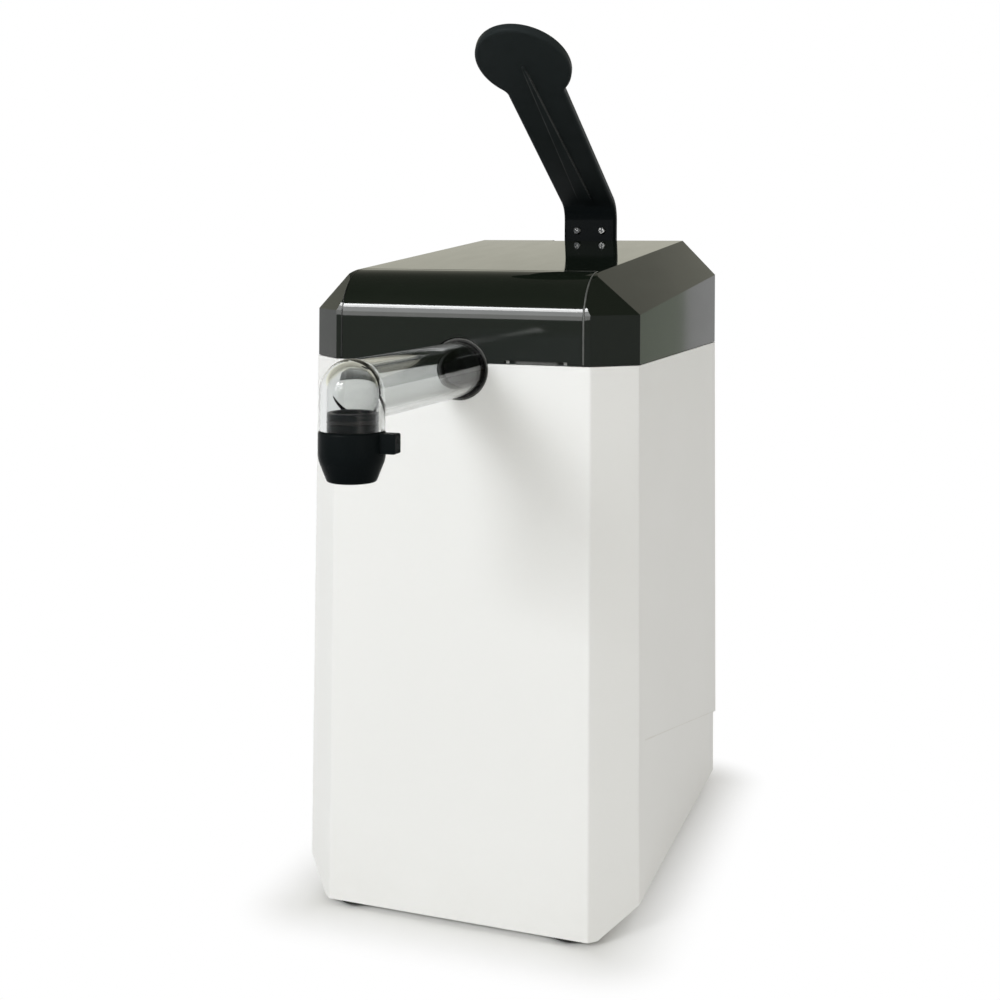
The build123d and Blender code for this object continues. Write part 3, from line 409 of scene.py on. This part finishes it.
def blackened_steel():
    """Dark oxide finish of the handle's screws, rubbed through in places."""
    finish = Finish("blackened_steel")
    rubbed = ((finish.cloud(700.0, 3.0) - 0.5) * 5.0).capped()
    return finish.close(
        Base_Color=finish.blend(rubbed, colour(0.02, 0.021, 0.022), colour(0.22, 0.22, 0.215)),
        Metallic=1.0,
        Roughness=0.30 + 0.15 * rubbed,
    )


def sand_cast_alloy():
    """Grey cast aluminium with a coarse skin."""
    finish = Finish("sand_cast_alloy")
    skin = finish.cloud(420.0, 4.0)
    return finish.close(
        Base_Color=finish.blend(skin, colour(0.46, 0.465, 0.47), colour(0.60, 0.605, 0.61)),
        Metallic=1.0,
        Roughness=0.42 + 0.22 * skin,
        Normal=finish.dents(skin, 0.3, 0.0004),
    )


def wear(piece, material):
    """Gives a piece one material all over."""
    piece.data.materials.clear()
    piece.data.materials.append(material)


def dress(material, *names):
    """Puts a finish on CAD nodes that stay as they are."""
    for name in names:
        for slot in nodes[name].material_slots:
            slot.material = material


white = moulded_white()
smoke = smoked_gloss()
# The bead's finish, with its painted highlight on the right.
rubbed = rubbed_edge()
# Painted shade by height: the handle is dark below 0.385 m and the nozzle below 0.26 m; the handle also gets
# the painted rib highlight.
black = satin_black("satin_black_handle", 0.28, 0.385, 0.41, rib_highlight)
nozzle_black = satin_black("satin_black_nozzle", 0.22, 0.26, 0.38)
clear = clear_acrylic()
acetal = natural_acetal()
rubber = soft_rubber("soft_rubber")
# The grommet's rubber with a painted highlight on its outer rim.
rim_highlit_rubber = soft_rubber("rubbed_rubber", rim_highlight)
steel_sheet = brushed_steel("brushed_steel_sheet", (0.03, 1.0, 1.0))
steel_turned = brushed_steel("turned_steel", (1.0, 1.0, 0.05))
dark_steel = blackened_steel()
alloy = sand_cast_alloy()

dress(white, "housing_shell")
dress(smoke, "lid_shell", "lid_front_panel")
dress(black, "handle", "spout_nut")
dress(nozzle_black, "nozzle_cap")
dress(clear, "spout_tube")
dress(acetal, "pump_body", "cylinder_cap", "piston_head", "push_button", "pusher_pad", "pivot_bushes")
dress(rubber, "spout_gasket", "inlet_valve", "outlet_valve", "drip_valve",
      "piston_seals", "nozzle_seal", "suction_tube")
dress(rim_highlit_rubber, "spout_grommet")
dress(steel_sheet, "pump_deck", "lever_bracket")
dress(steel_turned, "hinge_pins", "pivot_pin", "pivot_clips", "piston_rod")
dress(alloy, "lever_arm")


def turned(rings, steps):
    """Mesh turned about Z. A ring is a height and a radius, or a rule that gives the radius at an angle."""
    points = []
    for height, radius in rings:
        for step in range(steps):
            angle = 2 * pi * step / steps
            reach = radius(angle) if callable(radius) else radius
            points.append((reach * cos(angle), reach * sin(angle), height))
    faces = [tuple(reversed(range(steps)))]
    for ring in range(len(rings) - 1):
        first = ring * steps
        for step in range(steps):
            near = first + step
            far = first + (step + 1) % steps
            faces.append((near, far, far + steps, near + steps))
    last = (len(rings) - 1) * steps
    faces.append(tuple(range(last, last + steps)))
    mesh = bpy.data.meshes.new("turned")
    mesh.from_pydata(points, [], faces)
    return mesh


def cross(length, width):
    """Outline of a cross recess: four arms of one length and half width."""
    def reach(angle):
        off_arm = abs((angle + pi / 4) % (pi / 2) - pi / 4)
        return min(length, width / max(sin(off_arm), 1e-6))
    return reach


def fluted(radius, flutes, depth):
    """Round outline with shallow round flutes cut into it."""
    def reach(angle):
        return radius - depth * max(0.0, cos(flutes * angle)) ** 2
    return reach


def pan_head_screw(head, head_height, shank, length, recess):
    """Screw with a domed head and a cross recess, its head's seat at zero and its shank below."""
    rings = [(-length, shank * 0.8), (-length + shank * 0.3, shank), (0.0, shank), (0.0, head)]
    for share in (0.0, 0.2, 0.4, 0.6, 0.8):
        rings.append((head_height * (0.35 + 0.65 * share), head * sqrt(1.0 - 0.85 * share * share)))
    rings.append((head_height, recess * 1.35))
    rings.append((head_height, cross(recess, recess * 0.30)))
    rings.append((head_height * 0.45, cross(recess * 0.7, recess * 0.24)))
    return turned(rings, 48)


def thumb_screw(head, head_height, shank, length, flutes):
    """Screw with a tall fluted head and a dished top, its head's seat at zero and its shank below."""
    skirt = head * 0.97
    grip = fluted(head, flutes, head * 0.10)
    rim = fluted(head * 0.93, flutes, head * 0.08)
    rings = [
        (-length, shank * 0.8), (-length + shank * 0.3, shank), (0.0, shank),
        (0.0, skirt * 0.94), (head_height * 0.04, skirt), (head_height * 0.12, skirt),
        (head_height * 0.18, grip), (head_height * 0.88, grip), (head_height * 0.97, rim),
        (head_height, head * 0.80), (head_height, head * 0.66), (head_height * 0.90, head * 0.58),
    ]
    return turned(rings, 120)


def push_in_foot(pad, flange, height, stem, barb, grip, barb_height):
    """Rubber foot: a pad with two tread grooves, flared to a flange under the base, and a barbed stem."""
    groove = height * 0.15
    rings = [
        (groove, pad * 0.34), (0.0, pad * 0.38), (0.0, pad * 0.56),
        (groove, pad * 0.60), (groove, pad * 0.66), (0.0, pad * 0.70), (0.0, pad * 0.90),
        (height * 0.08, pad * 0.96), (height * 0.26, pad), (height * 0.5, flange), (height, flange),
        (height, stem), (height + grip, stem), (height + grip, barb),
        (height + grip + barb_height, stem), (height + grip + barb_height, stem * 0.4),
    ]
    return turned(rings, 48)


def set_out():
    """Copies of one small piece at the crossings of a grid, each turned by its own amount."""
    tree = Pattern(
        "set_out", piece="Geometry", across="Float", along="Float", columns="Int", rows="Int",
        middle="Vector", tilt="Vector", seed="Int", finish="Material",
    )
    grid = tree.add("GeometryNodeMeshGrid", {}, {
        "Size X": tree.size("across"), "Size Y": tree.size("along"),
        "Vertices X": tree.size("columns"), "Vertices Y": tree.size("rows"),
    })
    spin = tree.add("FunctionNodeRandomValue", {"data_type": "FLOAT"}, {3: 2 * pi, 8: tree.size("seed")}, 1)
    turn = tree.add("ShaderNodeCombineXYZ", {}, {"Z": spin})
    copies = tree.add("GeometryNodeInstanceOnPoints", {}, {
        "Points": grid, "Instance": tree.size("piece"), "Rotation": turn,
    })
    return tree.end(tree.add("GeometryNodeTransform", {}, {
        "Geometry": copies, "Translation": tree.size("middle"), "Rotation": tree.size("tilt"),
    }))


def closed_coil():
    """Round wire wound into a spring whose end turns lie closed and are ground flat."""
    tree = Pattern(
        "closed_coil", blank="Geometry", turns="Float", closed="Float", radius="Float", wire="Float",
        length="Float", middle="Vector", finish="Material",
    )
    line = tree.add("GeometryNodeCurvePrimitiveLine", {}, {})
    line = tree.add("GeometryNodeResampleCurve", {}, {"Curve": line, "Count": 420})
    turns, closed, wire = tree.size("turns"), tree.size("closed"), tree.size("wire")
    turn = tree.add("GeometryNodeSplineParameter", {}, {}) * turns
    low = turn.least(closed)
    high = (turn - turns + closed).most(0.0)
    live = turn - low - high
    pitch = (tree.size("length") - wire * (closed * 2.0 + 0.6)) / (turns - closed * 2.0)
    angle = turn * (2 * pi)
    spot = tree.add("ShaderNodeCombineXYZ", {}, {
        "X": angle.work("COSINE", angle) * tree.size("radius"),
        "Y": angle.work("SINE", angle) * tree.size("radius"),
        "Z": wire * 0.3 + wire * (low + high) + pitch * live,
    })
    helix = tree.add("GeometryNodeSetPosition", {}, {"Geometry": line, "Position": spot})
    section = tree.add("GeometryNodeCurvePrimitiveCircle", {}, {"Resolution": 14, "Radius": wire * 0.5})
    coil = tree.add("GeometryNodeCurveToMesh", {}, {
        "Curve": helix, "Profile Curve": section, "Fill Caps": True,
    })
    place = tree.add("GeometryNodeInputPosition", {}, {})
    apart = tree.add("ShaderNodeSeparateXYZ", {}, {0: place})
    ground = tree.add("ShaderNodeCombineXYZ", {}, {
        "X": apart, "Y": apart.beside("Y"), "Z": apart.beside("Z").most(0.0).least(tree.size("length")),
    })
    coil = tree.add("GeometryNodeSetPosition", {}, {"Geometry": coil, "Position": ground})
    return tree.end(tree.add("GeometryNodeTransform", {}, {
        "Geometry": coil, "Translation": tree.size("middle"),
    }))


def edge_bead():
    """Round bead swept along a path of points, its corners eased."""
    tree = Pattern("edge_bead", path="Geometry", radius="Float", easing="Float", finish="Material")
    curve = tree.add("GeometryNodeMeshToCurve", {}, {"Mesh": tree.size("path")})
    curve = tree.add("GeometryNodeFilletCurve", {"mode": "POLY"}, {
        "Curve": curve, "Count": 4, "Radius": tree.size("easing"), "Limit Radius": True,
    })
    section = tree.add("GeometryNodeCurvePrimitiveCircle", {}, {
        "Resolution": 12, "Radius": tree.size("radius"),
    })
    return tree.end(tree.add("GeometryNodeCurveToMesh", {}, {
        "Curve": curve, "Profile Curve": section, "Fill Caps": True,
    }))


def panel_edge_bead():
    """Bead in the gap round the lid's rolled panel: up its left edge, over the top and down the right."""
    low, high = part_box("lid_front_panel")
    radius, gap, sunk = 0.0005, 0.001, 0.0004
    roll, slope = 0.027, radians(5.0)
    front, rear = low.y, high.y + gap / 2
    side = high.x + gap / 2
    top = high.z - (high.y - front) * tan(slope)
    tangent = roll * tan((pi / 2 - slope) / 2)
    middle_y, middle_z = front + roll, top - tangent
    edge = [(front + sunk, low.z + radius)]
    for step in range(17):
        angle = (pi / 2 - slope) * step / 16
        edge.append((middle_y - (roll - sunk) * cos(angle), middle_z + (roll - sunk) * sin(angle)))
    edge.append((rear, top + (rear - front) * tan(slope) - sunk))
    points = [(-side, y, z) for y, z in edge] + [(side, y, z) for y, z in reversed(edge)]
    path = bpy.data.meshes.new("panel_outline")
    path.from_pydata(points, [(spot, spot + 1) for spot in range(len(points) - 1)], [])
    # The bead wears the finish with the painted highlight on its right side.
    return edge_bead().make("panel_edge_bead", path, radius=radius, easing=0.0015, finish=rubbed)


def fit(piece, body, node):
    """Lets a piece stand for a CAD node and ride on that node's body."""
    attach(piece, body)
    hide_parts(node)
    return piece


upright = (0.0, 0.0, 0.0)
upside_down = (pi, 0.0, 0.0)
facing_front = (pi / 2, 0.0, 0.0)
grid_of_pieces = set_out()


def set_out_upright(name, node, mesh, radius, seat, tilt, finish, seed):
    """Four copies at the corners of a CAD node's box, drawn in from them by the piece's own radius."""
    low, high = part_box(node)
    return grid_of_pieces.make(
        name, mesh, across=high.x - low.x - 2 * radius, along=high.y - low.y - 2 * radius,
        columns=2, rows=2,
        middle=((low.x + high.x) / 2, (low.y + high.y) / 2, seat), tilt=tilt, seed=seed, finish=finish,
    )


def deck_thumb_screws():
    head, head_height = 0.0075, 0.009
    low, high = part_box("deck_screws")
    seat = high.z - head_height
    mesh = thumb_screw(head, head_height, shank=0.0025, length=seat - low.z, flutes=10)
    return set_out_upright("deck_thumb_screws", "deck_screws", mesh, head, seat, upright, steel_turned, 3)


def cylinder_cap_screws():
    head, head_height = 0.00375, 0.0026
    low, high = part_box("pump_screws")
    seat = high.z - head_height
    mesh = pan_head_screw(head, head_height, shank=0.002, length=seat - low.z, recess=0.0021)
    return set_out_upright("cylinder_cap_screws", "pump_screws", mesh, head, seat, upright, steel_turned, 5)


def bracket_fixing_screws():
    head, head_height = 0.00375, 0.0026
    low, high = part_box("bracket_screws")
    seat = low.z + head_height
    mesh = pan_head_screw(head, head_height, shank=0.002, length=high.z - seat, recess=0.0021)
    return set_out_upright(
        "bracket_fixing_screws", "bracket_screws", mesh, head, seat, upside_down, steel_turned, 7,
    )


def handle_fixing_screws():
    head, head_height = 0.0027, 0.0016
    low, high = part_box("handle_screws")
    seat = low.y + head_height
    mesh = pan_head_screw(head, head_height, shank=0.002, length=high.y - seat, recess=0.0015)
    return grid_of_pieces.make(
        "handle_fixing_screws", mesh, across=high.x - low.x - 2 * head, along=0.0, columns=2, rows=1,
        middle=((low.x + high.x) / 2, seat, (low.z + high.z) / 2), tilt=facing_front, seed=2,
        finish=dark_steel,
    )


def treaded_feet():
    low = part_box("rubber_feet")[0]
    pad, flange = 0.0065, 0.011
    mesh = push_in_foot(pad, flange, height=0.003, stem=0.003, barb=0.00425, grip=0.004, barb_height=0.003)
    return set_out_upright("treaded_feet", "rubber_feet", mesh, pad, low.z, upright, rubber, 1)


def button_spring():
    low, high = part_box("return_spring")
    wire = 0.0018
    blank = bpy.data.meshes.new("blank")
    return closed_coil().make(
        "button_spring", blank, turns=8.0, closed=1.0, radius=(high.x - low.x - wire) / 2, wire=wire,
        length=high.z - low.z, middle=((low.x + high.x) / 2, (low.y + high.y) / 2, low.z),
        finish=steel_turned,
    )


fit(deck_thumb_screws(), "housing", "deck_screws")
fit(cylinder_cap_screws(), "housing", "pump_screws")
fit(bracket_fixing_screws(), "lid", "bracket_screws")
fit(handle_fixing_screws(), "lever", "handle_screws")
fit(treaded_feet(), "housing", "rubber_feet")
bead = panel_edge_bead()
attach(bead, "lid")
spring = fit(button_spring(), "housing", "return_spring")
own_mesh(spring)


def seen_directly(tree):
    """1 for what the camera sees, itself or in gloss and clear plastic, and 0 for light on the object."""
    path = tree.add("ShaderNodeLightPath", {}, {}, "Is Camera Ray")
    return (path + path.beside("Is Glossy Ray") + path.beside("Is Transmission Ray")).capped()


base_half_width = 0.0785
base_half_depth = 0.127
base_middle = 0.0674


def pale_floor():
    """Table top that keeps the soft shadow and goes to white away from the object."""
    shadow_reach, contact_reach, contact_share = 0.05, 0.012, 0.2
    finish = Finish("pale_floor")
    across = finish.along("X")
    along = finish.along("Y") - base_middle
    beside = (across.size() - base_half_width).most(0.0)
    before = (along.size() - base_half_depth).most(0.0)
    gap = finish.add("ShaderNodeCombineXYZ", {}, {"X": beside, "Y": before})
    reach = finish.add("ShaderNodeVectorMath", {"operation": "LENGTH"}, {0: gap}, "Value")
    away = (reach / shadow_reach).capped()
    clear_of_shadow = away * away * (3.0 - 2.0 * away)
    clear_of_contact = (reach / contact_reach).capped()
    white_share = contact_share * clear_of_contact + (1.0 - contact_share) * clear_of_shadow
    share = seen_directly(finish) * white_share
    matt = finish.add("ShaderNodeBsdfDiffuse", {}, {"Color": colour(0.9, 0.9, 0.89)})
    lit = finish.add("ShaderNodeEmission", {}, {"Color": colour(1.0, 1.0, 1.0), "Strength": 1.0})
    surface = finish.add("ShaderNodeMixShader", {}, {0: share, 1: matt, 2: lit})
    finish.add("ShaderNodeOutputMaterial", {}, {"Surface": surface})
    return finish.material


def white_surround():
    """World that looks white, with a grey ceiling and in gloss a warm one, and gives a low even light."""
    ceiling_start, ceiling_width, ceiling_drop = 0.19, 0.13, 0.48
    zenith_start, zenith_width, zenith_drop = 0.5, 0.3, 0.2
    paint_start, paint_width = 0.13, 0.03
    world = bpy.data.worlds.new("white_surround")
    world.use_nodes = True
    tree = Tree(world.node_tree)
    low = tree.add("ShaderNodeBackground", {}, {"Color": colour(1.0, 0.985, 0.93), "Strength": 0.52})
    towards = tree.add("ShaderNodeTexCoord", {}, {}, "Generated")
    rise = tree.add("ShaderNodeSeparateXYZ", {}, {0: towards}, "Z")
    ceiling = ((rise - ceiling_start) / ceiling_width).capped()
    zenith = ((rise - zenith_start) / zenith_width).capped()
    in_gloss = tree.add("ShaderNodeLightPath", {}, {}, "Is Glossy Ray")
    paint = tree.add("ShaderNodeMix", {"data_type": "RGBA"}, {
        0: in_gloss * ((rise - paint_start) / paint_width).capped(),
        6: colour(1.0, 1.0, 1.0),
        7: colour(1.0, 0.985, 0.83),
    }, 2)
    plain = tree.add("ShaderNodeBackground", {}, {
        "Color": paint, "Strength": 1.0 - ceiling_drop * ceiling - zenith_drop * zenith,
    })
    surface = tree.add("ShaderNodeMixShader", {}, {0: seen_directly(tree), 1: low, 2: plain})
    tree.add("ShaderNodeOutputWorld", {}, {"Surface": surface})
    return world


def add_floor(half):
    mesh = bpy.data.meshes.new("floor")
    corners = [(-half, -half, 0), (half, -half, 0), (half, half, 0), (-half, half, 0)]
    mesh.from_pydata(corners, [], [(0, 1, 2, 3)])
    floor = bpy.data.objects.new("floor", mesh)
    bpy.context.scene.collection.objects.link(floor)
    wear(floor, pale_floor())


def add_side_card():
    """Grey card far behind on the right, seen in gloss alone: the darker front half of the lid's side."""
    finish = Finish("side_card")
    grey = finish.add("ShaderNodeEmission", {}, {"Color": colour(0.57, 0.63, 0.52), "Strength": 1.0})
    finish.add("ShaderNodeOutputMaterial", {}, {"Surface": grey})
    left, right, behind, top = 0.721, 1.2, 3.0, 0.4
    mesh = bpy.data.meshes.new("side_card")
    corners = [(left, behind, 0), (right, behind, 0), (right, behind, top), (left, behind, top)]
    mesh.from_pydata(corners, [], [(0, 1, 2, 3)])
    card = bpy.data.objects.new("side_card", mesh)
    card.visible_camera = False
    card.visible_diffuse = False
    card.visible_transmission = False
    card.visible_shadow = False
    bpy.context.scene.collection.objects.link(card)
    wear(card, finish.material)


def add_softbox(name, spot, target, width, height, power, tint=(1.0, 1.0, 1.0), gloss_only=False):
    """Area lamp that the camera does not see; a gloss-only one shows in gloss and lights nothing else."""
    lamp = bpy.data.lights.new(name, "AREA")
    lamp.shape = "RECTANGLE"
    lamp.size = width
    lamp.size_y = height
    lamp.energy = power
    lamp.color = tint
    holder = bpy.data.objects.new(name, lamp)
    holder.location = spot
    holder.rotation_euler = (Vector(target) - Vector(spot)).to_track_quat("-Z", "Y").to_euler()
    holder.visible_camera = False
    holder.visible_diffuse = not gloss_only
    holder.visible_transmission = not gloss_only
    bpy.context.scene.collection.objects.link(holder)


def add_camera():
    """Camera of the photograph: level, turned about 20 degrees to the right, framed by its shift."""
    turn = radians(19.554)
    roll = radians(0.319)
    sensor, picture, focal_length, horizon = 36.0, 1000.0, 1421.24, 248.15
    side = Vector((cos(turn), sin(turn), 0.0))
    ahead = Vector((-sin(turn), cos(turn), 0.0))
    above = Vector((0.0, 0.0, 1.0))
    right = side * cos(roll) + above * sin(roll)
    up = above * cos(roll) - side * sin(roll)
    lens = bpy.data.cameras.new("camera")
    lens.sensor_width = sensor
    lens.lens = sensor * focal_length / picture
    lens.shift_y = (horizon - picture / 2) / picture
    lens.clip_start = 0.01
    holder = bpy.data.objects.new("camera", lens)
    axes = Matrix((right, up, -ahead)).transposed()
    holder.matrix_world = Matrix.Translation((0.27626, -0.76989, 0.36328)) @ axes.to_4x4()
    bpy.context.scene.collection.objects.link(holder)
    bpy.context.scene.camera = holder


bpy.context.scene.view_settings.view_transform = "Standard"
bpy.context.scene.world = white_surround()
add_floor(6.0)
add_side_card()
front_of_lid = (0.0, -0.05, 0.3)
daylight = (0.955, 0.978, 1.0)
add_softbox("key_softbox", (-0.76, -1.88, 1.09), front_of_lid, 0.9, 0.56, 12.0, daylight)
add_softbox("key_strip", (-0.755, -1.87, 1.385), front_of_lid, 0.9, 0.10, 9.0, daylight)
add_softbox("sheen_strip", (-0.757, -1.874, 1.31), front_of_lid, 0.9, 0.26, 34.0, gloss_only=True)
add_softbox("sheen_band", (-0.757, -1.874, 0.845), front_of_lid, 0.9, 0.74, 20.0, gloss_only=True)
add_softbox("back_softbox", (-0.67, 2.0, 0.8), (0.0, 0.1, 0.35), 1.8, 0.9, 0.3, (1.0, 0.98, 0.90))
add_softbox("right_fill", (1.65, -1.3, 0.3), (0.0, 0.0, 0.1), 0.9, 0.9, 4.2, (1.0, 0.98, 0.92))
add_camera()
